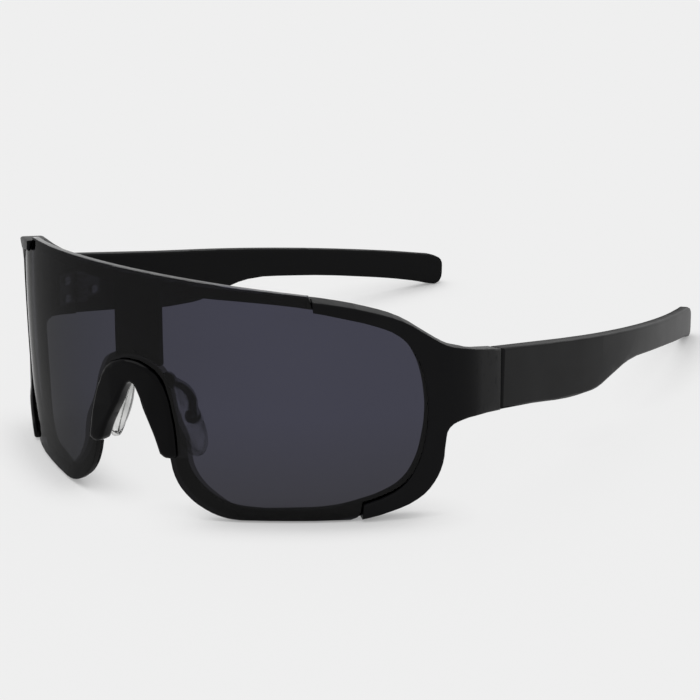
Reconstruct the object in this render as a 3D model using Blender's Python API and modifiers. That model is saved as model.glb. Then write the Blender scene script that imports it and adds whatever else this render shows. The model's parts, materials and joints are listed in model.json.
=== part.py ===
# Wraparound cycling glasses: one front frame, one shield lens, a nose saddle with clear pads on arms,
# and two temples that fold on pinned metal hinges.
# Metres, +Z up. The lens faces -Y, the temples run to +Y, and +X is the wearer's left.

import math

import bmesh
import bpy
from mathutils import Euler, Matrix, Vector

# Front: the height of the frame, and half its length along the wrap line, from the centre to the seam
front_height = 0.0593
half_length = 0.096

# Wrap line from above: a round middle, a nearly straight side, a tight corner, a straight end; the
# side takes what length the others leave
middle_radius = 0.066
middle_heading = math.radians(46)
side_heading = math.radians(51.5)
corner_radius = 0.014
end_heading = math.radians(93.6)
straight_end = 0.0097

# The front leans back towards its foot, and bulges forward at mid height; both fade out at the corner.
# It flares forward again beside the nose
lean_share = 0.05
bulge = 0.0011
fade_start_share = 0.79
fade_end_share = 0.94
nose_flare = 0.0026
flare_along_shares = (0.1, 0.42)
flare_up_shares = (0.12, 0.62)

# Depths, outward from the lens's front face
lens_thickness = 0.0016
rim_front = 0.0012
frame_back = 0.0042
nose_thin_share = 0.35
thin_start_share = 0.2
thin_stop_share = 0.4
lip_thin_share = 0.25
lip_rise_shares = (0.09, 0.2)
lip_fall_shares = (0.78, 0.87)
temple_back = 0.0026
clearance = 0.0003
frame_edge = 0.0005
lens_edge = 0.00025
temple_edge = 0.0008

# Temple: its length, the straight run before the bend, the bend's radius, and how thin the tip gets
temple_length = 0.135
temple_straight = 0.0426
temple_radius = 0.25
temple_height = 0.01543
tip_thinning_share = 0.3

# Nose saddle and pads
saddle_front = 0.0013
saddle_back = 0.0027
saddle_edge = 0.0009
pad_length = 0.0202
pad_width = 0.0081
pad_thickness = 0.0044
pad_round_share = 0.93
pad_out = 0.0094
pad_back = 0.0087
pad_up_share = 0.382
pad_splay = math.radians(22)
pad_spread = math.radians(17.5)
pad_pitch = math.radians(11)
arm_radius = 0.0012
arm_root_share = 0.085
arm_root_up_share = 0.55
arm_foot_radius = 0.0019
arm_foot_thickness = 0.0011
holder_radius = 0.0019
holder_thickness = 0.0012

# Hinge: five knuckles on one screw, with a leaf on each side held by two small screws
hinge_height = 0.008
hinge_up_share = 0.499
knuckle_count = 5
knuckle_radius = 0.0016
bore_radius = 0.00095
pivot_radius = 0.00065
leaf_thickness = 0.001
leaf_near = 0.0022
leaf_far = 0.0074
leaf_screw_along = 0.005
leaf_screw_up = 0.0023
leaf_screw_radius = 0.0005
screw_hole_radius = 0.0008
screw_depth = 0.0017
small_head_radius = 0.0011
small_head_thickness = 0.00055
pivot_head_radius = 0.0015
pivot_head_thickness = 0.0006
seat_depth_along = 0.012

# Mesh fineness: the spacing of the cuts that let a flat plate bend, and round pieces' sides
bend_step = 0.0055
corner_step = 0.0022
up_step = 0.0084
round_sides = 20
weld_distance = 0.000002
flat_angle = math.radians(0.5)

# Outlines lie on the flat sheet: shares of half_length along and of front_height up, from the
# centre to one end, and whether the point is a soft or a sharp one
lens_top_shares = (
    (0, 1, "soft"), (0.16, 0.994, "soft"), (0.31, 0.9775, "soft"), (0.37, 0.968, "soft"),
    (0.43, 0.957, "soft"), (0.459, 0.951, "sharp"),
)
brow_shares = (
    (0, 0.968, "soft"), (0.16, 0.965, "soft"), (0.31, 0.955, "soft"), (0.42, 0.941, "soft"),
    (0.5, 0.925, "soft"), (0.61, 0.882, "soft"), (0.69, 0.8325, "soft"), (0.757, 0.761, "soft"),
    (0.8, 0.717, "soft"), (0.86, 0.687, "soft"), (1, 0.6262, "sharp"),
)
outer_bottom_shares = (
    (1, 0.366, "sharp"), (0.9, 0.393, "soft"), (0.84, 0.394, "soft"), (0.804, 0.368, "soft"),
    (0.793, 0.311, "soft"), (0.783, 0.22, "soft"), (0.758, 0.144, "soft"), (0.713, 0.08, "soft"),
    (0.645, 0.036, "soft"), (0.56, 0.007, "soft"), (0.51, 0, "sharp"), (0.28, 0, "sharp"),
    (0.2462, 0.0185, "soft"), (0.199, 0.051, "soft"), (0.1537, 0.111, "soft"),
    (0.1275, 0.1804, "soft"), (0.1175, 0.24, "sharp"),
)
nose_end_shares = (
    (0.15, 0.246, "sharp"), (0.159, 0.2, "soft"), (0.188, 0.138, "soft"), (0.232, 0.082, "soft"),
    (0.29, 0.052, "soft"), (0.415, 0.045, "soft"), (0.51, 0.053, "soft"),
)
window_end_shares = (
    (0.577, 0.074, "soft"), (0.638, 0.104, "soft"), (0.686, 0.15, "soft"), (0.72, 0.227, "soft"),
    (0.74, 0.322, "soft"), (0.751, 0.43, "soft"), (0.75, 0.52, "soft"), (0.74, 0.615, "soft"),
    (0.725, 0.68, "soft"), (0.707, 0.727, "soft"), (0.679, 0.773, "soft"), (0.628, 0.816, "soft"),
    (0.534, 0.864, "soft"), (0.47, 0.889, "soft"),
)
window_top_shares = ((0.34, 0.913, "soft"), (0.17, 0.918, "soft"), (0.069, 0.922, "sharp"))
bar_foot_shares = ((0.069, 0.609, "sharp"), (0.036, 0.631, "soft"), (0, 0.6385, "soft"))

# The lens's edge inside the rim's groove runs this far outside the window's edge
groove_depth = 0.0013
lens_inset = 0.0004
rim_start_share = 0.462
rim_stop_share = 0.568
nose_side_share = 0.28
cut_out_shares = (
    (0.245, 0.014, "soft"), (0.197, 0.046, "soft"), (0.151, 0.107, "soft"), (0.1245, 0.178, "soft"),
    (0.1115, 0.26, "soft"), (0.099, 0.32, "soft"), (0.0765, 0.4, "soft"), (0.054, 0.48, "soft"),
    (0.032, 0.545, "soft"), (0, 0.574, "soft"),
)
saddle_outer_shares = (
    (0, 0.629, "soft"), (0.034, 0.622, "soft"), (0.075, 0.585, "soft"), (0.102, 0.511, "soft"),
    (0.118, 0.425, "soft"), (0.128, 0.344, "soft"), (0.1335, 0.262, "sharp"),
)
saddle_opening_shares = (
    (0.107, 0.253, "soft"), (0.0895, 0.268, "sharp"), (0.0745, 0.329, "soft"), (0.056, 0.388, "soft"),
    (0.038, 0.442, "soft"), (0.022, 0.5, "soft"), (0, 0.536, "soft"),
)

# The temple's outline: shares of its length and of its height at the seam, down from the seam's top
temple_edge_shares = (
    (0.12, 1.2125, "soft"), (0.25, 1.467, "soft"), (0.31, 1.543, "soft"), (0.36, 1.585, "soft"),
    (0.42, 1.534, "soft"), (0.5, 1.494, "soft"), (0.62, 1.659, "soft"), (0.8, 1.99, "soft"),
    (0.93, 2.268, "soft"), (0.97, 2.378, "soft"), (0.984, 2.4065, "sharp"),
)
temple_tip_shares = (
    (0.996, 2.36, "soft"), (1.002, 2.13, "soft"), (0.999, 1.97, "soft"), (0.982, 1.875, "soft"),
)
temple_top_shares = ((0.95, 1.8, "soft"), (0.75, 1.416, "soft"), (0.5, 0.953, "soft"), (0.25, 0.492, "soft"))

# Materials: colour, roughness, metallic and transmission
looks = {
    "satin_black": ((0.012, 0.012, 0.013), 0.42, 0, 0),
    "matte_black": ((0.018, 0.018, 0.019), 0.55, 0, 0),
    "gloss_black": ((0.006, 0.006, 0.006), 0.12, 0, 0),
    "tinted_lens": ((0.12, 0.11, 0.15), 0.05, 0, 0.9),
    "clear_silicone": ((0.85, 0.87, 0.88), 0.25, 0, 0.9),
    "steel": ((0.55, 0.55, 0.56), 0.3, 1, 0),
}


def clear_scene():
    for thing in list(bpy.data.objects):
        bpy.data.objects.remove(thing)


def collection_named(name):
    made = bpy.data.collections.new(name)
    bpy.context.scene.collection.children.link(made)
    return made


def material_named(name):
    colour, roughness, metallic, transmission = looks[name]
    made = bpy.data.materials.get(name) or bpy.data.materials.new(name)
    made.use_nodes = True
    shader = made.node_tree.nodes["Principled BSDF"]
    shader.inputs["Base Color"].default_value = (*colour, 1)
    shader.inputs["Roughness"].default_value = roughness
    shader.inputs["Metallic"].default_value = metallic
    shader.inputs["Transmission Weight"].default_value = transmission
    return made


def evaluated_mesh(thing):
    """The object's mesh with its modifiers, in its parent's space, welded."""
    bpy.context.view_layer.update()
    graph = bpy.context.evaluated_depsgraph_get()
    mesh = bpy.data.meshes.new_from_object(thing.evaluated_get(graph))
    mesh.transform(thing.matrix_world)
    work = bmesh.new()
    work.from_mesh(mesh)
    bmesh.ops.remove_doubles(work, verts=work.verts, dist=weld_distance)
    bmesh.ops.recalc_face_normals(work, faces=work.faces)
    work.to_mesh(mesh)
    work.free()
    return mesh


def helper(mesh):
    """A loose object for a Boolean, which carved() removes."""
    made = bpy.data.objects.new("helper", mesh)
    bpy.context.scene.collection.objects.link(made)
    return made


def carved(blank, joined=(), cut=()):
    """The mesh of blank with some helpers joined to it and others cut from it."""
    for operation, others in (("UNION", joined), ("DIFFERENCE", cut)):
        for other in others:
            modifier = blank.modifiers.new("cut", "BOOLEAN")
            modifier.operation = operation
            modifier.object = other
    mesh = evaluated_mesh(blank)
    for thing in (blank, *joined, *cut):
        bpy.data.objects.remove(thing)
    return mesh


def node(name, mesh, look, pivot=None):
    """A finished sub-part. A moving one hangs on its pivot, an empty on the joint's axis."""
    mesh.name = name
    mesh.shade_smooth()
    mesh.set_sharp_from_angle(angle=math.radians(32))
    mesh.materials.clear()
    mesh.materials.append(material_named(look))
    made = bpy.data.objects.new(name, mesh)
    parts.objects.link(made)
    if pivot:
        mesh.transform(Matrix.Translation(-pivot.location))
        made.parent = pivot
    return made


# Sheet places are (along, up, out), and the wrap bends them to world places

def corner_span():
    """Where the tight corner starts and ends along the wrap line."""
    corner_end = half_length - straight_end
    return corner_end - corner_radius * (end_heading - side_heading), corner_end


def plan_at(distance):
    """Place and heading on the plan line: the wrap line, then the temple's line."""
    corner_start, corner_end = corner_span()
    middle_length = middle_radius * middle_heading
    bend_length = 2 * temple_length
    pieces = (
        (middle_length, middle_heading),
        (corner_start - middle_length, side_heading - middle_heading),
        (corner_end - corner_start, end_heading - side_heading),
        (straight_end + temple_straight, 0),
        (bend_length, bend_length / temple_radius),
    )
    x, y, heading = 0, 0, 0
    for length, turn in pieces:
        step = min(distance, length)
        bend = turn * step / length
        if bend:
            radius = length / turn
            x += radius * (math.sin(heading + bend) - math.sin(heading))
            y += radius * (math.cos(heading) - math.cos(heading + bend))
        else:
            x += step * math.cos(heading)
            y += step * math.sin(heading)
        heading += bend
        distance -= step
    return x, y, heading


def eased(value, start, stop):
    """0 before start, 1 after stop, and smooth between them."""
    past = min(max((value - start) / (stop - start), 0), 1)
    return past * past * (3 - 2 * past)


def flat_share(along):
    """1 along the front and 0 on its ends: how much of the lean, the bulge and the thin lip is left."""
    return 1 - eased(abs(along) / half_length, fade_start_share, fade_end_share)


def sheet_to_world(place):
    along, up, out = place
    x, y, heading = plan_at(abs(along))
    side = math.copysign(1, along)
    drop = front_height - up
    lean = lean_share * drop - bulge * 4 * drop * up / front_height ** 2
    lean *= flat_share(along)
    flare = 1 - eased(abs(along) / half_length, *flare_along_shares)
    lean -= nose_flare * flare * (1 - eased(up / front_height, *flare_up_shares))
    past_seam = max(abs(along) - half_length, 0) / temple_length
    if out < 0:
        out *= 1 - tip_thinning_share * past_seam
    return Vector((side * (x + out * math.sin(heading)), y - out * math.cos(heading) + lean, up))


def on_sheet(shares):
    return [(along * half_length, up * front_height, kind) for along, up, kind in shares]


def both_halves(half):
    """A closed outline from its half: points off the centre line are mirrored."""
    mirrored = [(-along, up, kind) for along, up, kind in reversed(half) if along > 0]
    return list(half) + mirrored


def flat_plate(outline, back, front, edge=0.0):
    """A plate on the sheet, from depth back to depth front, with its edges rounded."""
    curve = bpy.data.curves.new("plate", "CURVE")
    curve.dimensions = "2D"
    curve.fill_mode = "BOTH"
    curve.resolution_u = 3
    curve.extrude = (front - back) / 2 - edge
    curve.bevel_depth = edge
    curve.bevel_resolution = 1
    curve.offset = -edge
    spline = curve.splines.new("BEZIER")
    spline.bezier_points.add(len(outline) - 1)
    spline.use_cyclic_u = True
    for point, (along, up, kind) in zip(spline.bezier_points, outline):
        point.co = (along, up, 0)
        handle = "AUTO" if kind == "soft" else "VECTOR"
        point.handle_left_type = handle
        point.handle_right_type = handle
    shape = bpy.data.objects.new("plate", curve)
    bpy.context.scene.collection.objects.link(shape)
    shape.location.z = (front + back) / 2
    mesh = evaluated_mesh(shape)
    bpy.data.objects.remove(shape)
    return mesh


def outline_of(outline):
    """The outline's own rounded line as many sharp points, so that it can be grown."""
    mesh = flat_plate(outline, 0, clearance)
    work = bmesh.new()
    work.from_mesh(mesh)
    rim = {edge for edge in work.edges if all(abs(v.co.z) < weld_distance for v in edge.verts)}
    rim = [edge for edge in rim if any(abs(face.normal.z) < 0.5 for face in edge.link_faces)]
    links = {}
    for edge in rim:
        for one, other in (edge.verts, reversed(edge.verts)):
            links.setdefault(one.index, []).append(other.index)
    work.verts.ensure_lookup_table()
    last, here = None, min(links, key=lambda index: work.verts[index].co.x)
    ordered = []
    for _ in links:
        ordered.append(work.verts[here].co.copy())
        last, here = here, next(index for index in links[here] if index != last)
    work.free()
    bpy.data.meshes.remove(mesh)
    return [(point.x, point.y) for point in ordered]


def grown(points, distance):
    """A closed line moved outward by a distance."""
    area = sum(a[0] * b[1] - b[0] * a[1] for a, b in zip(points, points[1:] + points[:1]))
    outward = math.copysign(distance, area)
    moved = []
    for before, here, after in zip(points[-1:] + points[:-1], points, points[1:] + points[:1]):
        ahead = (Vector(after) - Vector(here)).normalized()
        behind = (Vector(here) - Vector(before)).normalized()
        normal = Vector((ahead.y + behind.y, -ahead.x - behind.x)).normalized()
        spread = max(normal.dot(Vector((ahead.y, -ahead.x))), 0.5)
        moved.append((here[0] + normal.x * outward / spread, here[1] + normal.y * outward / spread))
    return [(along, up, "sharp") for along, up in moved]


def thinned(place):
    """The frame gets thin behind the lens beside the nose, and so does its front lip at mid height."""
    along, up, out = place
    bed = -lens_thickness - clearance
    if out < bed and up < front_height / 2:
        thick = eased(abs(along) / half_length, thin_start_share, thin_stop_share)
        out = bed + (out - bed) * (nose_thin_share + (1 - nose_thin_share) * thick)
    if out > 0:
        height = up / front_height
        thin = eased(height, *lip_rise_shares) * (1 - eased(height, *lip_fall_shares)) * flat_share(along)
        out *= 1 - (1 - lip_thin_share) * thin
    return along, up, out


def bent(mesh, thin=False):
    """The flat mesh sliced finely enough to bend, and wrapped onto the plan line."""
    work = bmesh.new()
    work.from_mesh(mesh)
    bmesh.ops.dissolve_limit(work, angle_limit=flat_angle, verts=work.verts, edges=work.edges)
    furthest = max(abs(vertex.co.x) for vertex in work.verts)
    corner_start, corner_end = corner_span()
    stations = {0}
    here = bend_step
    while here < furthest:
        stations |= {here, -here}
        in_corner = corner_start - bend_step < here < corner_end
        here += corner_step if in_corner else bend_step
    cuts = [(Vector((station, 0, 0)), Vector((1, 0, 0))) for station in sorted(stations)]
    levels = round(front_height / up_step)
    cuts += [(Vector((0, level * up_step, 0)), Vector((0, 1, 0))) for level in range(1, levels)]
    for place, normal in cuts:
        everything = work.verts[:] + work.edges[:] + work.faces[:]
        bmesh.ops.bisect_plane(work, geom=everything, dist=weld_distance, plane_co=place, plane_no=normal)
    for vertex in work.verts:
        vertex.co = sheet_to_world(thinned(vertex.co) if thin else vertex.co)
    bmesh.ops.remove_doubles(work, verts=work.verts, dist=weld_distance)
    bmesh.ops.recalc_face_normals(work, faces=work.faces)
    work.to_mesh(mesh)
    work.free()
    return mesh


def cylinder(radius, start, end, sides=round_sides):
    """A helper cylinder between two places."""
    start, end = Vector(start), Vector(end)
    work = bmesh.new()
    turn = Vector((0, 0, 1)).rotation_difference(end - start).to_matrix().to_4x4()
    place = Matrix.Translation((start + end) / 2) @ turn
    bmesh.ops.create_cone(
        work, cap_ends=True, segments=sides, radius1=radius, radius2=radius,
        depth=(end - start).length, matrix=place,
    )
    mesh = bpy.data.meshes.new("cylinder")
    work.to_mesh(mesh)
    work.free()
    return helper(mesh)


def box(low, high):
    """A helper box between two corners."""
    low, high = Vector(low), Vector(high)
    work = bmesh.new()
    bmesh.ops.create_cube(work, size=1)
    bmesh.ops.scale(work, verts=work.verts, vec=high - low)
    bmesh.ops.translate(work, verts=work.verts, vec=(high + low) / 2)
    mesh = bpy.data.meshes.new("box")
    work.to_mesh(mesh)
    work.free()
    return helper(mesh)


# Outlines shared by the lens, the frame and the saddle

def lens_outline():
    """The lens's edge: over the frame's top and foot in the middle, in the rim's groove at the ends."""
    foot = [(along, up + lens_inset, kind) for along, up, kind in on_sheet(outer_bottom_shares)
            if nose_side_share <= along / half_length < rim_stop_share]
    window = on_sheet(window_end_shares)
    closed = [(0, 0.5 * front_height, "sharp")] + window
    line = grown([(along, up) for along, up, _ in closed], groove_depth)[1:]
    groove = [(along, up, "soft") for along, up, _ in line]
    groove[0] = (*groove[0][:2], "sharp")
    groove[-1] = (*groove[-1][:2], "sharp")
    return both_halves(on_sheet(lens_top_shares) + groove[::-1] + foot + on_sheet(cut_out_shares))


def lens_bed():
    """The room that the lens takes, with clearance all round, as a helper."""
    line = grown(outline_of(lens_outline()), clearance)
    return helper(flat_plate(line, -lens_thickness - clearance, clearance))


# Sub-parts

def front_frame():
    """Brow, centre bar and rims in one piece, with the lens's bed and groove cut into its front."""
    half = on_sheet(brow_shares + outer_bottom_shares + nose_end_shares)
    half += on_sheet(window_end_shares + window_top_shares + bar_foot_shares)
    blank = helper(flat_plate(both_halves(half), -frame_back, rim_front, frame_edge))
    over = front_height + rim_front
    step_in = rim_start_share * half_length
    step_out = rim_stop_share * half_length
    opening = [(0, over, "sharp"), (step_in, over, "sharp")]
    opening += reversed(on_sheet(window_end_shares))
    opening += [(step_out, -rim_front, "sharp"), (0, -rim_front, "sharp")]
    opening[2] = (*opening[2][:2], "sharp")
    opening[-3] = (*opening[-3][:2], "sharp")
    front_opening = helper(flat_plate(both_halves(opening), -lens_thickness - clearance, 2 * rim_front))
    cuts = [front_opening, lens_bed()]
    for side in (1, -1):
        seat = sorted((side * (half_length - seat_depth_along), side * (half_length + clearance)))
        cuts.append(box((seat[0], 0, -2 * frame_back), (seat[1], front_height, -temple_back)))
        cuts += screw_pockets(side * (half_length - leaf_screw_along))
    node("front_frame", bent(carved(blank, cut=cuts), thin=True), "satin_black")


def hinge_up():
    """The height of the hinge's middle, which keeps its place on the front."""
    return hinge_up_share * front_height


def screw_pockets(along):
    """Helper cylinders for a leaf's two screws, at a distance along the sheet."""
    deep = screw_depth + clearance - temple_back
    return [
        cylinder(screw_hole_radius, (along, up, -2 * temple_back), (along, up, deep), sides=12)
        for up in (hinge_up() - leaf_screw_up, hinge_up() + leaf_screw_up)
    ]


def shield_lens():
    """One tinted sheet over both eyes, cut out over the nose."""
    node("shield_lens", bent(flat_plate(lens_outline(), -lens_thickness, 0, lens_edge)), "tinted_lens")


def nose_saddle():
    """The channel that straddles the lens's cut-out over the nose."""
    half = on_sheet(saddle_outer_shares + saddle_opening_shares)
    blank = helper(flat_plate(both_halves(half), -saddle_back, saddle_front, saddle_edge))
    node("nose_saddle", bent(carved(blank, cut=[lens_bed()])), "gloss_black")


def pad_place(side):
    turn = Euler((pad_pitch, -side * pad_spread, -side * pad_splay)).to_matrix().to_4x4()
    return Matrix.Translation((side * pad_out, pad_back, pad_up_share * front_height)) @ turn


def nose_pad(name, side):
    """A soft pad from a coarse cage, long in Z and flat in its own X."""
    work = bmesh.new()
    bmesh.ops.create_cube(work, size=1)
    long_edges = [edge for edge in work.edges if abs(edge.verts[0].co.z - edge.verts[1].co.z) > 0.5]
    bmesh.ops.subdivide_edges(work, edges=long_edges, cuts=1, use_grid_fill=True)
    bmesh.ops.scale(work, verts=work.verts, vec=(pad_thickness, pad_width, pad_length))
    mesh = bpy.data.meshes.new(name)
    work.to_mesh(mesh)
    work.free()
    made = node(name, mesh, "clear_silicone")
    made.matrix_world = pad_place(side)
    smooth = made.modifiers.new("smooth", "SUBSURF")
    smooth.levels = 2
    smooth.render_levels = 2


def pad_arm(name, side):
    """A round arm from the saddle's back to the holder that carries the pad."""
    place = pad_place(side)
    behind = pad_thickness * pad_round_share / 2 + clearance
    outward = Vector((side, 0, 0))
    holder = cylinder(holder_radius, place @ (outward * behind), place @ (outward * (behind + holder_thickness)))
    foot = [
        sheet_to_world((side * arm_root_share * half_length, arm_root_up_share * front_height, out))
        for out in (-saddle_back - clearance, -saddle_back - clearance - arm_foot_thickness)
    ]
    arm_foot = cylinder(arm_foot_radius, *foot)
    root = foot[1]
    tip = place @ (outward * (behind + holder_thickness))
    curve = bpy.data.curves.new(name, "CURVE")
    curve.dimensions = "3D"
    curve.bevel_depth = arm_radius
    curve.bevel_resolution = 2
    curve.resolution_u = 6
    curve.use_fill_caps = True
    spline = curve.splines.new("BEZIER")
    spline.bezier_points.add(2)
    middle = (root + tip) / 2 + Vector((side * arm_radius, arm_radius, arm_radius))
    for point, co in zip(spline.bezier_points, (root, middle, tip)):
        point.co = co
        point.handle_left_type = "AUTO"
        point.handle_right_type = "AUTO"
    shape = bpy.data.objects.new(name, curve)
    bpy.context.scene.collection.objects.link(shape)
    arm = helper(evaluated_mesh(shape))
    bpy.data.objects.remove(shape)
    node(name, carved(arm, joined=[holder, arm_foot]), "gloss_black")


# Hinge places are (out, back, up) from the hinge's axis at the seam

def hinge_frame(side):
    """The matrix from hinge places to the world; the right side's mirrors."""
    x, y, heading = plan_at(half_length + clearance / 2)
    axis_out = -temple_back - clearance - knuckle_radius
    centre = Vector((x + axis_out * math.sin(heading), y - axis_out * math.cos(heading), hinge_up()))
    turn = Matrix.Rotation(heading - math.pi / 2, 4, "Z")
    return Matrix.Diagonal((side, 1, 1, 1)) @ Matrix.Translation(centre) @ turn


def in_place(mesh, side):
    mesh.transform(hinge_frame(side))
    if side < 0:
        mesh.flip_normals()
    return mesh


def knuckle_levels():
    """The foot and top of each knuckle, from the lowest."""
    height = (hinge_height - (knuckle_count - 1) * clearance) / knuckle_count
    feet = [index * (height + clearance) - hinge_height / 2 for index in range(knuckle_count)]
    return [(foot, foot + height) for foot in feet]


def hinge_leaf(name, side, back, indexes, pivot=None):
    """A leaf ahead of the axis (back -1) or behind it (back 1), with its own knuckles."""
    inner = knuckle_radius - leaf_thickness
    reach = sorted((back * leaf_near, back * leaf_far))
    half = hinge_height / 2
    plate = box((inner, reach[0], -half), (knuckle_radius, reach[1], half))
    joined = []
    cuts = []
    for foot, top in [knuckle_levels()[index] for index in indexes]:
        web = sorted((0, back * (leaf_near + clearance)))
        joined.append(box((inner, web[0], foot), (knuckle_radius, web[1], top)))
        joined.append(cylinder(knuckle_radius, (0, 0, foot), (0, 0, top)))
    cuts.append(cylinder(bore_radius, (0, 0, -hinge_height), (0, 0, hinge_height)))
    for up in (-leaf_screw_up, leaf_screw_up):
        ends = [(out, back * leaf_screw_along, up) for out in (0, 2 * knuckle_radius)]
        cuts.append(cylinder(screw_hole_radius, *ends, sides=12))
    node(name, in_place(carved(plate, joined, cuts), side), "steel", pivot)


def pivot_screw(name, side):
    top = hinge_height / 2 + clearance
    head = cylinder(pivot_head_radius, (0, 0, top), (0, 0, top + pivot_head_thickness))
    shank = cylinder(pivot_radius, (0, 0, -hinge_height / 2), (0, 0, top + pivot_head_thickness / 2))
    node(name, in_place(carved(shank, [head]), side), "steel")


def leaf_screw(name, side, back, up, pivot=None):
    inner = knuckle_radius - leaf_thickness - clearance
    along = back * leaf_screw_along
    tip = knuckle_radius + clearance + screw_depth
    head = cylinder(small_head_radius, (inner - small_head_thickness, along, up), (inner, along, up), sides=16)
    shank = cylinder(leaf_screw_radius, (inner - small_head_thickness / 2, along, up), (tip, along, up), sides=12)
    node(name, in_place(carved(shank, [head]), side), "steel", pivot)


def temple_outline(side):
    """A broad blade that steps down to a slim arm with a deeper tip."""
    start = half_length + clearance
    seam_top = on_sheet(brow_shares)[-1][1]
    run = temple_length - clearance

    def place(along, down, kind):
        return (side * (start + along * run), seam_top - down * temple_height, kind)

    outline = [place(0, 0, "sharp"), place(0, 1, "sharp")]
    outline += [place(*shares) for shares in temple_edge_shares + temple_tip_shares + temple_top_shares]
    return outline


def temple(name, side, pivot):
    blank = helper(flat_plate(temple_outline(side), -temple_back, rim_front, temple_edge))
    pockets = screw_pockets(side * (half_length + leaf_screw_along))
    node(name, bent(carved(blank, cut=pockets)), "matte_black", pivot)


def pivot_empty(name, side):
    made = bpy.data.objects.new(name, None)
    made.location = hinge_frame(side).translation
    made.empty_display_size = knuckle_radius
    parts.objects.link(made)
    return made


def rest_at_origin():
    """Moves the whole so that the middle of its box's foot lies at the origin."""
    bpy.context.view_layer.update()
    solids = [thing for thing in parts.objects if thing.type == "MESH"]
    corners = [thing.matrix_world @ Vector(corner) for thing in solids for corner in thing.bound_box]
    low = Vector([min(values) for values in zip(*corners)])
    high = Vector([max(values) for values in zip(*corners)])
    foot = Vector(((low.x + high.x) / 2, (low.y + high.y) / 2, low.z))
    for thing in parts.objects:
        if not thing.parent:
            thing.location -= foot


clear_scene()
parts = collection_named("cycling_glasses")
front_frame()
shield_lens()
nose_saddle()
for side_name, side_sign in (("left", 1), ("right", -1)):
    axis = pivot_empty(side_name + "_temple_pivot", side_sign)
    nose_pad(side_name + "_nose_pad", side_sign)
    pad_arm(side_name + "_pad_arm", side_sign)
    temple(side_name + "_temple", side_sign, axis)
    hinge_leaf(side_name + "_front_leaf", side_sign, -1, (0, 2, 4))
    hinge_leaf(side_name + "_temple_leaf", side_sign, 1, (1, 3), axis)
    pivot_screw(side_name + "_pivot_screw", side_sign)
    for level_name, level in (("lower", -leaf_screw_up), ("upper", leaf_screw_up)):
        screw_name = side_name + "_{}_" + level_name + "_screw"
        leaf_screw(screw_name.format("front"), side_sign, -1, level)
        leaf_screw(screw_name.format("temple"), side_sign, 1, level, axis)
rest_at_origin()
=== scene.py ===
import json
import math

import bpy
from mathutils import Euler, Matrix, Vector


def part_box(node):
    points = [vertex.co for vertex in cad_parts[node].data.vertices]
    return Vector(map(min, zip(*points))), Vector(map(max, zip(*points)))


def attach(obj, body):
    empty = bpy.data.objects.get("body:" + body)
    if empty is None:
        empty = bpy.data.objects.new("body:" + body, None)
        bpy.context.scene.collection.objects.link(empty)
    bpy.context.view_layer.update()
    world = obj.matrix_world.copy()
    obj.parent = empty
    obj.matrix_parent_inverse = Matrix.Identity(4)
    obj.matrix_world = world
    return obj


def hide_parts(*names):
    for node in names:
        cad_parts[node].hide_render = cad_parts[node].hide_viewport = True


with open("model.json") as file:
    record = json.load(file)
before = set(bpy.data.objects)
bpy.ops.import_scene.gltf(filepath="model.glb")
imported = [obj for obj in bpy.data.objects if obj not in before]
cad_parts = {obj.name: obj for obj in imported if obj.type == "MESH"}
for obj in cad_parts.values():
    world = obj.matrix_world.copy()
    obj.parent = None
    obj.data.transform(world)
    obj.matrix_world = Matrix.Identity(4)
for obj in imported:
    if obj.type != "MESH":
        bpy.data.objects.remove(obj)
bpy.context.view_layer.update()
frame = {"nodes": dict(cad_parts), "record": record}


class Wire:
    # one shader socket, so that sums on it read as sums
    def __init__(self, tree, socket=None):
        self.tree = tree
        self.socket = socket

    def put(self, kind, settings=None, inputs=None, output=0):
        # a node of any kind: its settings come first, then the values or links of its sockets,
        # each by its name, or by its number where several share a name
        node = self.tree.nodes.new("ShaderNode" + kind)
        for name, value in (settings or {}).items():
            if name == "stops":
                # a smooth curve in a ramp of greys, through pairs of position and level
                ramp = node.color_ramp
                while len(ramp.elements) < len(value):
                    ramp.elements.new(1)
                for element, (position, level) in zip(ramp.elements, value):
                    element.position = position
                    element.color = (level, level, level, 1)
                ramp.interpolation = "B_SPLINE"
            else:
                setattr(node, name, value)
        for name, value in (inputs or {}).items():
            if isinstance(value, Wire):
                self.tree.links.new(value.socket, node.inputs[name])
            else:
                node.inputs[name].default_value = value
        return Wire(self.tree, node.outputs[output])

    def maths(self, operation, first, second=0):
        return self.put("Math", {"operation": operation}, {0: first, 1: second})

    def __add__(self, other):
        return self.maths("ADD", self, other)

    def __mul__(self, other):
        return self.maths("MULTIPLY", self, other)

    def under(self, limit):
        # 1 where this value is below the limit
        return self.maths("LESS_THAN", self, limit)

    def spread(self, low, high):
        # 0 up to low, 1 from high on
        return self.put("MapRange", inputs={"Value": self, "From Min": low, "From Max": high})

    def along(self, axis):
        # one of the X, Y and Z parts of a vector
        return self.put("SeparateXYZ", inputs={0: self}, output=axis)


def noiseOn(place, size, detail, stretch=(1, 1, 1)):
    # noise with grains about size metres across, drawn out where stretch is small
    scaled = place.put("Mapping", inputs={"Vector": place, "Scale": stretch})
    return place.put("TexNoise", inputs={"Vector": scaled, "Scale": 1 / size, "Detail": detail})


def between(value, ends):
    # a 0 to 1 value, drawn out to go from one end to the other
    low, high = ends
    return value * (high - low) + low


def blended(first, second, share):
    # share of the second value, the rest of the first
    return first * (1 - share) + second * share


def coloursMixed(share, first, second):
    # a Mix node has its colours on inputs 6 and 7 and on output 2
    colours = [colour if isinstance(colour, Wire) else (*colour, 1) for colour in (first, second)]
    return share.put("Mix", {"data_type": "RGBA"}, {0: share, 6: colours[0], 7: colours[1]}, 2)


def bumpFrom(height, depth):
    return height.put("Bump", inputs={"Height": height, "Distance": depth, "Strength": 1})


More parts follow.
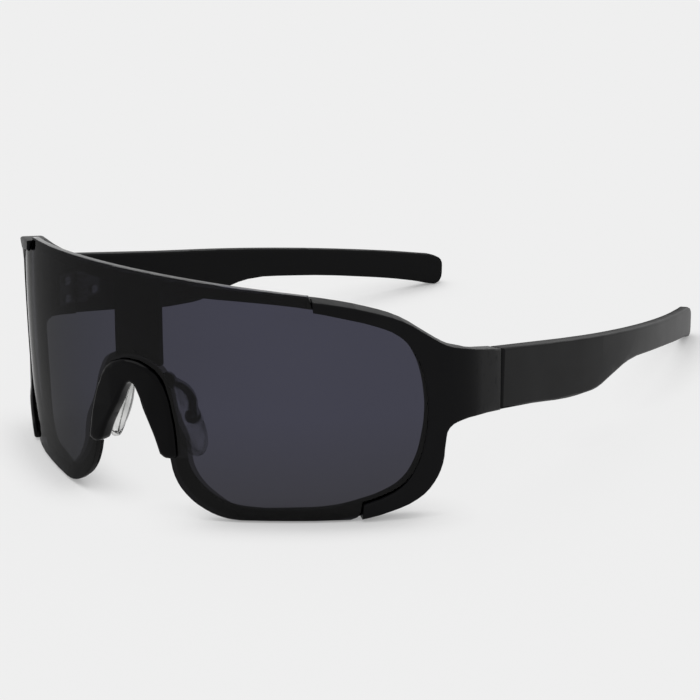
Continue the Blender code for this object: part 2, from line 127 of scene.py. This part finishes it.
def slantOf(place):
    # 0 where the surface is seen straight on, 1 where it is seen edge on
    return place.put("LayerWeight", inputs={"Blend": 0.5}, output="Facing")


def normalOf(place):
    return place.put("TexCoord", output="Normal")


def newFinish(name, look, fill):
    # a Principled material: plain sockets from look, then what fill links
    finish = bpy.data.materials.new(name)
    finish.use_nodes = True
    tree = finish.node_tree
    shader = tree.nodes["Principled BSDF"]
    for socket, value in look["sockets"].items():
        shader.inputs[socket].default_value = value
    place = Wire(tree).put("TexCoord", output="Object")
    for socket, source in fill(place, look).items():
        tree.links.new(source.socket, shader.inputs[socket])
    return finish


# Each finish below has a dictionary of its values and a function that turns them into nodes. A
# noise is given by its size in metres, its detail and, where it is drawn out, its stretch.

# Moulded plastic: frame and saddle differ by colour, grain and sheen, and both have fine scuffs
frameLook = {
    "sockets": {"Specular IOR Level": 0.075},
    "dark": (0.003, 0.003, 0.0034), "pale": (0.0049, 0.0049, 0.0055), "grainColour": 0.3,
    "cloud": (0.011, 4), "grain": (0.00035, 3), "grainDepth": 0.000008, "cloudBump": 0.2,
    "scuff": (0.0022, 6, (0.12, 1.6, 1)), "scuffEdges": (0.58, 0.72), "scuffRoughness": 0.14,
    "roughness": (0.34, 0.44),
}
saddleLook = {
    "sockets": {"Specular IOR Level": 0.07},
    "dark": (0.0008, 0.0008, 0.001), "pale": (0.0016, 0.0016, 0.002), "grainColour": 0.3,
    "cloud": (0.007, 4), "grain": (0.0006, 3), "grainDepth": 0.000003, "cloudBump": 0.2,
    "scuff": (0.0022, 6, (0.12, 1.6, 1)), "scuffEdges": (0.58, 0.72), "scuffRoughness": 0.1,
    "roughness": (0.06, 0.12),
}


def mouldedPlastic(place, look):
    cloud = noiseOn(place, *look["cloud"])
    grain = noiseOn(place, *look["grain"])
    scuffed = noiseOn(place, *look["scuff"]).spread(*look["scuffEdges"])
    shade = blended(cloud, grain, look["grainColour"])
    return {
        "Base Color": coloursMixed(shade, look["dark"], look["pale"]),
        "Roughness": between(cloud, look["roughness"]) + scuffed * look["scuffRoughness"],
        "Normal": bumpFrom(blended(grain, cloud, look["cloudBump"]), look["grainDepth"]),
    }


# Temples: a soft-touch coat on the outer face, which wears thin in places, thickened at a slant as
# a painted sheen, and bare plastic inside
templeLook = {
    "sockets": {"Specular IOR Level": 0.0, "Coat Roughness": 0.5, "Coat IOR": 1.5},
    "bare": (0.0102, 0.0102, 0.0105), "coated": (0.0063, 0.0063, 0.0066), "outerEdges": (-0.3, 0.2),
    "bareCoat": 0.03, "coat": 0.1, "slantCoat": 0.88, "slantEdges": (0.47, 0.76),
    "cloud": (0.016, 4), "grain": (0.0005, 3), "grainDepth": 0.000014, "cloudBump": 0.2,
    "colourWear": (0.85, 1.15), "coatWear": (0.8, 1.2), "roughness": (0.42, 0.56),
}


def softTouch(place, look):
    cloud = noiseOn(place, *look["cloud"])
    grain = noiseOn(place, *look["grain"])
    side = place.maths("SIGN", place.along("X"))
    outer = (side * normalOf(place).along("X")).spread(*look["outerEdges"])
    coated = outer * between(cloud, look["colourWear"])
    # painted sheen: the coat is thickened where the face is seen at a slant
    shine = slantOf(place).spread(*look["slantEdges"]) * look["slantCoat"] + look["coat"]
    return {
        "Base Color": coloursMixed(coated, look["bare"], look["coated"]),
        "Coat Weight": outer * between(cloud, look["coatWear"]) * shine + look["bareCoat"],
        "Roughness": between(cloud, look["roughness"]),
        "Normal": bumpFrom(blended(grain, cloud, look["cloudBump"]), look["grainDepth"]),
    }


# Tinted sheet: darker where it is looked through at a slant, with a painted highlight on its
# polished top edge, black round the nose and on the edges that the frame holds, with faint smears
# and fine dust in its shine. The black border is a smooth curve through pairs of height and half
# width, in millimetres, and borderRange is the height and half width that count as 1 on it.
millimetres = 1000
lensLook = {
    "sockets": {"Transmission Weight": 1.0, "IOR": 1.01, "Coat IOR": 1.8, "Coat Roughness": 0.012},
    "tint": (0.0565, 0.0565, 0.083), "slanted": (0.03, 0.0305, 0.035), "slantGain": 1.5,
    "foot": (0.047, 0.046, 0.0565), "footRise": (0.002, 0.026), "inked": (0.0032, 0.0031, 0.0038),
    "wallBelow": 0.04, "wallWithin": 0.045, "wallFacing": 0.5, "borderRange": (40, 30),
    "border": [
        (0, 26.5), (3, 25.2), (5, 22.8), (8, 19), (11, 16.8), (14, 15.5), (18, 15.1), (20, 14.8),
        (22, 13.9), (24, 12.9), (27, 11.6), (30, 11), (33, 10.2), (36, 8.6), (38, 6), (39.4, 0),
    ],
    "haze": (0.0, 0.05), "coat": 0.13, "edgeCoat": 0.85, "edgeUpward": (0.6, 0.9),
    "smear": (0.019, 5, (1, 1, 0.45)), "smearShine": (0.9, 1.1),
    "dust": (0.0011, 2), "dustEdges": (0.76, 0.84), "dustShine": 0.4,
}


def tintedSheet(place, look):
    smear = noiseOn(place, *look["smear"])
    speck = noiseOn(place, *look["dust"]).spread(*look["dustEdges"])
    height = place.along("Z")
    across = place.maths("ABSOLUTE", place.along("X"))
    forward = normalOf(place).along("Y")
    # painted highlight: upward faces, the top edge, get a far stronger coat
    edge = normalOf(place).along("Z").spread(*look["edgeUpward"])
    wall = (forward * forward).under(look["wallFacing"]) * height.under(look["wallBelow"])
    tallest, widest = look["borderRange"]
    stops = [(up / tallest, halfWidth / widest) for up, halfWidth in look["border"]]
    border = place.put("ValToRGB", {"stops": stops}, {"Fac": height * (millimetres / tallest)})
    inBorder = (across * (millimetres / widest)).under(border)
    # black border round the nose and on the edge walls low down
    inked = place.maths("MAXIMUM", wall * across.under(look["wallWithin"]), inBorder)
    tint = coloursMixed(height.spread(*look["footRise"]), look["foot"], look["tint"])
    deep = place.maths("MINIMUM", slantOf(place) * look["slantGain"], 1)
    shine = between(smear, look["smearShine"]) + speck * look["dustShine"]
    return {
        "Base Color": coloursMixed(inked, coloursMixed(deep, tint, look["slanted"]), look["inked"]),
        "Roughness": between(smear, look["haze"]),
        "Coat Weight": shine * look["coat"] + edge * look["edgeCoat"],
    }


# Soft clear rubber: painted shade where it is seen edge on, with milky streaks and a fine moulded
# skin
rubberLook = {
    "sockets": {
        "Transmission Weight": 1.0, "IOR": 1.33, "Coat Roughness": 0.05, "Coat Weight": 0.5,
    },
    "clear": (0.9, 0.9, 0.89), "milky": (0.44, 0.45, 0.44),
    "rim": (0.02, 0.02, 0.021), "rimPower": 1.4,
    "streak": (0.0022, 3, (1, 1, 0.3)), "streakEdges": (0.42, 0.66), "roughness": (0.0, 0.09),
    "skin": (0.0006, 2), "skinDepth": 0.00002, "streakBump": 0.4,
}


def clearRubber(place, look):
    streaks = noiseOn(place, *look["streak"])
    skin = noiseOn(place, *look["skin"])
    # painted shade: darker the more edge on the surface is seen
    rim = place.maths("POWER", slantOf(place), look["rimPower"])
    body = coloursMixed(streaks.spread(*look["streakEdges"]), look["clear"], look["milky"])
    return {
        "Base Color": coloursMixed(rim, body, look["rim"]),
        "Roughness": between(streaks, look["roughness"]),
        "Normal": bumpFrom(blended(skin, streaks, look["streakBump"]), look["skinDepth"]),
    }


# Metal with fine drawn lines and a tarnish in clouds: bright on the turned screws, smoked on the
# arms, blackened on the leaves
screwMetal = {
    "sockets": {"Metallic": 1.0}, "bright": (0.58, 0.58, 0.6), "dull": (0.4, 0.4, 0.42),
    "line": (0.00016, 3, (1, 1, 0.06)), "lineDepth": 0.000003, "lineRoughness": 0.4,
    "tarnish": (0.0024, 4), "roughness": (0.24, 0.4),
}
armMetal = {
    "sockets": {"Metallic": 1.0}, "bright": (0.42, 0.42, 0.435), "dull": (0.28, 0.28, 0.29),
    "line": (0.00022, 3, (1, 1, 0.06)), "lineDepth": 0.000002, "lineRoughness": 0.4,
    "tarnish": (0.0024, 4), "roughness": (0.14, 0.28),
}
leafMetal = {
    "sockets": {"Metallic": 1.0}, "bright": (0.15, 0.15, 0.155), "dull": (0.09, 0.09, 0.093),
    "line": (0.00018, 3, (1, 1, 0.06)), "lineDepth": 0.000003, "lineRoughness": 0.4,
    "tarnish": (0.0024, 4), "roughness": (0.26, 0.42),
}


def drawnMetal(place, look):
    lines = noiseOn(place, *look["line"])
    tarnish = noiseOn(place, *look["tarnish"])
    return {
        "Base Color": coloursMixed(tarnish, look["bright"], look["dull"]),
        "Roughness": between(blended(tarnish, lines, look["lineRoughness"]), look["roughness"]),
        "Normal": bumpFrom(lines, look["lineDepth"]),
    }


# One finish for each slot, and two for pieces whose metal looks different
slotFinishes = {
    "satin_black": newFinish("satinFrame", frameLook, mouldedPlastic),
    "matte_black": newFinish("mattTemple", templeLook, softTouch),
    "gloss_black": newFinish("glossySaddle", saddleLook, mouldedPlastic),
    "tinted_lens": newFinish("tintedSheet", lensLook, tintedSheet),
    "clear_silicone": newFinish("clearRubber", rubberLook, clearRubber),
    "steel": newFinish("drawnMetal", screwMetal, drawnMetal),
}
pieceFinishes = {
    "_pad_arm": newFinish("smokedArm", armMetal, drawnMetal),
    "_leaf": newFinish("blackenedLeaf", leafMetal, drawnMetal),
}
print("finishes made:", len(slotFinishes) + len(pieceFinishes))

bodies = frame["record"]["behaviour"]["bodies"]
bodyOf = {nodeName: body for body, members in bodies.items() for nodeName in members}
slotOf = {nodeName: solid.data.materials[0].name for nodeName, solid in frame["nodes"].items()}


def selectOnly(piece):
    for thing in bpy.context.selected_objects:
        thing.select_set(False)
    piece.select_set(True)
    bpy.context.view_layer.objects.active = piece


def addModifier(piece, kind, **settings):
    bpy.ops.object.modifier_add(type=kind)
    modifier = piece.modifiers[-1]
    for name, value in settings.items():
        setattr(modifier, name, value)
    bpy.ops.object.modifier_apply(modifier=modifier.name)


def mount(piece, nodeName):
    # the piece takes the solid's place on its body, in that solid's finish
    finish = slotFinishes[slotOf[nodeName]]
    for ending, ownFinish in pieceFinishes.items():
        if nodeName.endswith(ending):
            finish = ownFinish
    piece.data.materials.clear()
    piece.data.materials.append(finish)
    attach(piece, bodyOf[nodeName])
    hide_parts(nodeName)


# The moulded and stamped solids as smooth skins: welded, with soft faces and crisp edges
skinLook = {"weldGap": 0.000004, "sharpAngle": 34, "weight": 50}


def smoothSkin(nodeName):
    solid = frame["nodes"][nodeName]
    piece = bpy.data.objects.new(nodeName + "_skin", solid.data.copy())
    bpy.context.scene.collection.objects.link(piece)
    selectOnly(piece)
    bpy.ops.object.mode_set(mode="EDIT")
    bpy.ops.mesh.select_all(action="SELECT")
    bpy.ops.mesh.remove_doubles(threshold=skinLook["weldGap"])
    bpy.ops.object.mode_set(mode="OBJECT")
    bpy.ops.object.shade_smooth_by_angle(angle=math.radians(skinLook["sharpAngle"]))
    addModifier(piece, "WEIGHTED_NORMAL", keep_sharp=True, weight=skinLook["weight"])
    mount(piece, nodeName)


skins = [nodeName for nodeName in frame["nodes"] if not nodeName.endswith(("_nose_pad", "_screw"))]
for nodeName in skins:
    smoothSkin(nodeName)
print("skins made:", len(skins))


def newPiece(name):
    piece = bpy.context.object
    piece.name = name
    selectOnly(piece)
    return piece


def selectFaces(piece, wanted):
    # the faces that wanted accepts, by their centre and normal, and it ends in edit mode
    bpy.ops.object.mode_set(mode="OBJECT")
    mesh = piece.data
    for group in (mesh.vertices, mesh.edges):
        for part in group:
            part.select = False
    for face in mesh.polygons:
        face.select = wanted(face)
    bpy.ops.object.mode_set(mode="EDIT")
    bpy.ops.mesh.select_mode(type="FACE")


def finished(piece, matrix, sharpAngle):
    # outward faces, soft shading, and the place baked into the mesh
    piece.data.transform(matrix)
    selectOnly(piece)
    bpy.ops.object.mode_set(mode="EDIT")
    bpy.ops.mesh.select_all(action="SELECT")
    bpy.ops.mesh.normals_make_consistent(inside=False)
    bpy.ops.object.mode_set(mode="OBJECT")
    bpy.ops.object.shade_smooth_by_angle(angle=math.radians(sharpAngle))
    return piece


def copyOf(mesh, name, matrix, sharpAngle):
    # a piece with a mesh of its own, in another place
    piece = bpy.data.objects.new(name, mesh.copy())
    bpy.context.scene.collection.objects.link(piece)
    return finished(piece, matrix, sharpAngle)


# Nose pads: long soft ovals, thicker below and fuller on the nose side, where a stepped oval is
# pressed in. On the side that the arm holds, a flat oval is raised to meet it.
padLook = {
    "segments": 36, "rings": 20, "size": (0.0044, 0.0074, 0.0194), "taper": -0.28, "fullness": 0.16,
    "stepFrom": 0.5, "stepWidth": 0.00026, "pressedIn": 0.0007, "raised": 0.00006,
    "noseBulge": 1.45, "roundings": 2, "sharpAngle": 180,
    "lowered": 0.0004, "turn": (11, -17.5, -22), "fill": 0.9,
}


def makePads():
    # a ball of unit size, turned to have its poles on the two faces and scaled to an oval
    bpy.ops.mesh.primitive_uv_sphere_add(
        segments=padLook["segments"], ring_count=padLook["rings"], radius=0.5,
    )
    piece = newPiece("left_nose_pad_soft")
    bpy.ops.object.mode_set(mode="EDIT")
    bpy.ops.mesh.select_all(action="SELECT")
    bpy.ops.transform.rotate(value=math.pi / 2, orient_axis="Y", center_override=(0, 0, 0))
    bpy.ops.transform.resize(value=padLook["size"], center_override=(0, 0, 0))
    bpy.ops.object.mode_set(mode="OBJECT")
    stepStart = padLook["stepFrom"] * padLook["size"][0] / 2
    for direction, shift in ((1, padLook["raised"]), (-1, padLook["pressedIn"])):
        selectFaces(piece, lambda face: face.center.x * direction > stepStart)
        bpy.ops.mesh.inset(thickness=padLook["stepWidth"])
        bpy.ops.transform.translate(value=(shift, 0, 0))
        bpy.ops.mesh.inset(thickness=padLook["stepWidth"])
    selectFaces(piece, lambda face: face.center.x < 0)
    bpy.ops.transform.resize(value=(padLook["noseBulge"], 1, 1), center_override=(0, 0, 0))
    bpy.ops.object.mode_set(mode="OBJECT")
    addModifier(piece, "CAST", cast_type="CUBOID", factor=padLook["fullness"], use_x=False)
    addModifier(
        piece, "SIMPLE_DEFORM", deform_method="TAPER", deform_axis="Z", factor=padLook["taper"],
    )
    roundings = padLook["roundings"]
    addModifier(piece, "SUBSURF", levels=roundings, render_levels=roundings)
    low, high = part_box("left_nose_pad")
    place = Matrix.Translation((Vector(low) + Vector(high)) / 2)
    turn = Euler([math.radians(angle) for angle in padLook["turn"]]).to_matrix().to_4x4()
    lowered = Matrix.Translation((0, 0, -padLook["lowered"]))
    finished(piece, place @ turn @ lowered, padLook["sharpAngle"])
    mirror = Matrix.Diagonal((-1, 1, 1, 1))
    twin = copyOf(piece.data, "right_nose_pad_soft", mirror, padLook["sharpAngle"])
    for pad, nodeName in ((piece, "left_nose_pad"), (twin, "right_nose_pad")):
        mount(pad, nodeName)
    print("pads made: 2")


makePads()

# Hinge screws: turned heads with a rounded rim and a slot on a plain shank. The leaf screws lean
# with the hinge, their heads on the inner side, and the pivot screws stand upright.
screwLook = {
    "leaf": {"shank": 0.0005, "head": 0.00108, "headThickness": 0.00055, "slotWidth": 0.0003},
    "pivot": {"shank": 0.00065, "head": 0.00148, "headThickness": 0.0006, "slotWidth": 0.0004},
    "sides": 32, "wallShare": 0.6, "topShare": 0.8, "slotShare": 0.78, "slotDepthShare": 0.55,
    "roundOff": 0.00003, "roundOffSteps": 2, "facingUp": 0.9, "sharpAngle": 40, "lean": 3.6,
}


def turnedScrew(name, look, length):
    # along Z, with the top of the head at the origin
    head, thick, slot = look["head"], look["headThickness"], look["slotWidth"]
    wide, narrow = head / look["shank"], screwLook["topShare"]
    wall = thick * screwLook["wallShare"]
    slotReach = head * narrow * screwLook["slotShare"]
    upward = screwLook["facingUp"]
    bpy.ops.mesh.primitive_cylinder_add(
        vertices=screwLook["sides"], radius=look["shank"], depth=length - thick,
    )
    piece = newPiece(name)
    bpy.ops.object.mode_set(mode="EDIT")
    bpy.ops.mesh.select_all(action="SELECT")
    bpy.ops.transform.translate(value=(0, 0, -(length + thick) / 2))
    selectFaces(piece, lambda face: face.normal.z > upward)
    bpy.ops.mesh.extrude_region_move()
    bpy.ops.transform.resize(value=(wide, wide, 1))
    bpy.ops.mesh.extrude_region_move(TRANSFORM_OT_translate={"value": (0, 0, wall)})
    bpy.ops.mesh.extrude_region_move(TRANSFORM_OT_translate={"value": (0, 0, thick - wall)})
    bpy.ops.transform.resize(value=(narrow, narrow, 1))
    bpy.ops.mesh.inset(thickness=head * narrow - slotReach)
    # the disc inside the inset is cut along both edges of the slot, and the slot is sunk
    for edge in (slot / 2, -slot / 2):
        selectFaces(piece, lambda face: face.normal.z > upward and face.center.length < slotReach)
        bpy.ops.mesh.bisect(plane_co=(edge, 0, 0), plane_no=(1, 0, 0))
    selectFaces(piece, lambda face: face.normal.z > upward and face.center.length < slot / 2)
    deep = thick * screwLook["slotDepthShare"]
    bpy.ops.mesh.extrude_region_move(TRANSFORM_OT_translate={"value": (0, 0, -deep)})
    bpy.ops.object.mode_set(mode="OBJECT")
    addModifier(
        piece, "BEVEL", width=screwLook["roundOff"], segments=screwLook["roundOffSteps"],
        limit_method="ANGLE",
    )
    return piece


def screwPlace(nodeName, kind):
    # where the top of the head goes, and how long the screw is, from the box of its solid
    low, high = (Vector(corner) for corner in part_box(nodeName))
    middle = (low + high) / 2
    if kind == "pivot":
        return Matrix.Translation((middle.x, middle.y, high.z)), high.z - low.z
    side = 1 if middle.x > 0 else -1
    lean = math.radians(screwLook["lean"])
    turn = Matrix.Rotation(side * lean, 4, "Z") @ Matrix.Rotation(-side * math.pi / 2, 4, "Y")
    # the box is longer than the screw by what the leaning head adds
    length = (high.x - low.x - 2 * screwLook["leaf"]["head"] * math.sin(lean)) / math.cos(lean)
    return Matrix.Translation(middle) @ turn @ Matrix.Translation((0, 0, length / 2)), length


def makeScrews():
    # one screw of each kind is turned, and the others are copies of it
    patterns = {}
    screws = [nodeName for nodeName in frame["nodes"] if nodeName.endswith("_screw")]
    for nodeName in screws:
        kind = "pivot" if "pivot" in nodeName else "leaf"
        place, length = screwPlace(nodeName, kind)
        if kind in patterns:
            piece = copyOf(patterns[kind], nodeName + "_slotted", place, screwLook["sharpAngle"])
        else:
            piece = turnedScrew(nodeName + "_slotted", screwLook[kind], length)
            patterns[kind] = piece.data.copy()
            finished(piece, place, screwLook["sharpAngle"])
        mount(piece, nodeName)
    print("screws made:", len(screws))


makeScrews()

# Plain soft light, an evenly pale floor that keeps the shadow close to the glasses, and the
# photograph's camera
studio = {
    "backdrop": (0.863, 0.863, 0.863), "ambient": 0.78, "sun": 0.78, "sunSpread": 45,
    "sunTurn": (15, -22.5, 0), "floorSize": 40, "floorDrop": 0.00005,
    "shadowReach": 0.014, "shadowSamples": 8, "shadowFade": (0.6, 0.97), "evenShare": (0.3, 0.92),
    "azimuth": 35.12, "elevation": 18.66, "target": (0, -0.031597, 0.030), "distance": 0.997,
    "slideRight": 0.01536, "slideUp": -0.00716, "lens": 208.3, "sensor": 36, "clipStart": 0.05,
}


def seenRay(start):
    # 1 where the backdrop is looked at, straight on, in a reflection or through the lens
    camera, glossy, transmission = (
        start.put("LightPath", output="Is " + kind + " Ray")
        for kind in ("Camera", "Glossy", "Transmission")
    )
    return start.maths("MINIMUM", camera + glossy + transmission, 1)


def makeWorld():
    world = bpy.data.worlds.new("studio")
    bpy.context.scene.world = world
    world.use_nodes = True
    tree = world.node_tree
    tree.nodes.clear()
    start = Wire(tree)
    lit = start.put("Background", inputs={"Color": (1, 1, 1, 1), "Strength": studio["ambient"]})
    shown = start.put("Background", inputs={"Color": (*studio["backdrop"], 1), "Strength": 1})
    both = start.put("MixShader", inputs={"Fac": seenRay(start), 1: lit, 2: shown})
    output = tree.nodes.new("ShaderNodeOutputWorld")
    tree.links.new(both.socket, output.inputs["Surface"])


def makeFloor():
    bpy.ops.mesh.primitive_plane_add(
        size=studio["floorSize"], location=(0, 0, -studio["floorDrop"]),
    )
    floor = bpy.context.object
    floor.name = "floor"
    paint = bpy.data.materials.new("paleFloor")
    paint.use_nodes = True
    tree = paint.node_tree
    tree.nodes.clear()
    start = Wire(tree)
    settings, reach = {"samples": studio["shadowSamples"]}, {"Distance": studio["shadowReach"]}
    room = start.put("AmbientOcclusion", settings, reach, "AO")
    even = seenRay(start) * between(room.spread(*studio["shadowFade"]), studio["evenShare"])
    lit = start.put("BsdfDiffuse", inputs={"Color": (*studio["backdrop"], 1)})
    shown = start.put("Emission", inputs={"Color": (*studio["backdrop"], 1), "Strength": 1})
    both = start.put("MixShader", inputs={"Fac": even, 1: lit, 2: shown})
    output = tree.nodes.new("ShaderNodeOutputMaterial")
    tree.links.new(both.socket, output.inputs["Surface"])
    floor.data.materials.append(paint)


def makeLamp():
    lamp = bpy.data.lights.new("softbox", "SUN")
    lamp.energy = studio["sun"]
    lamp.angle = math.radians(studio["sunSpread"])
    holder = bpy.data.objects.new("softbox", lamp)
    holder.rotation_euler = [math.radians(turn) for turn in studio["sunTurn"]]
    bpy.context.scene.collection.objects.link(holder)


def makeCamera():
    azimuth, elevation = math.radians(studio["azimuth"]), math.radians(studio["elevation"])
    back = Vector((
        math.sin(azimuth) * math.cos(elevation),
        -math.cos(azimuth) * math.cos(elevation),
        math.sin(elevation),
    ))
    right = Vector((math.cos(azimuth), math.sin(azimuth), 0))
    up = back.cross(right)
    camera = bpy.data.objects.new("camera", bpy.data.cameras.new("camera"))
    camera.data.lens = studio["lens"]
    camera.data.sensor_width = studio["sensor"]
    camera.data.clip_start = studio["clipStart"]
    camera.location = (
        Vector(studio["target"]) + back * studio["distance"]
        + right * studio["slideRight"] + up * studio["slideUp"]
    )
    camera.rotation_euler = (-back).to_track_quat("-Z", "Y").to_euler()
    bpy.context.scene.collection.objects.link(camera)
    bpy.context.scene.camera = camera


makeWorld()
makeFloor()
makeLamp()
makeCamera()
bpy.context.scene.view_settings.view_transform = "Standard"
print("studio ready")
